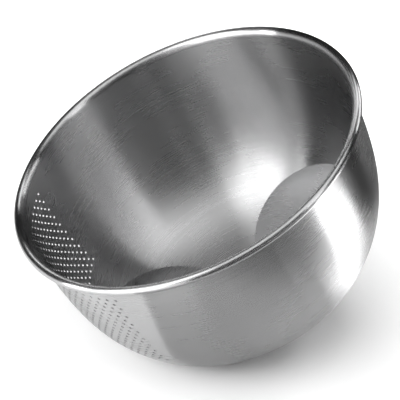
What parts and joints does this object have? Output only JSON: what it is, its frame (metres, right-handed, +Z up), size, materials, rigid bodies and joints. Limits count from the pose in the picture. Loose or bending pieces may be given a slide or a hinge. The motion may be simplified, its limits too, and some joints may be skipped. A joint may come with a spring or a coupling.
{
  "type": "rice washing bowl",
  "caption": "Round stainless steel bowl for washing rice, with a rolled wired rim, a patch of drain holes on one side and flats pressed into its base to stand tilted to wash or drain.",
  "frame": {"origin": "middle of the drain flat, the face that the bowl stands on", "axes": "+Z up with the bowl standing on its drain flat, -X towards the holes and the lowered side of the rim, Y = 0 is the mirror plane"},
  "size_m": [0.2226, 0.2238, 0.1684],
  "materials": {
    "satin_steel": "satin, finely brushed round the bowl",
    "wire_steel": "drawn wire"
  },
  "bodies": {
    "root": {"bowl_shell": "satin_steel", "rim_wire": "wire_steel"}
  },
  "joints": []
}
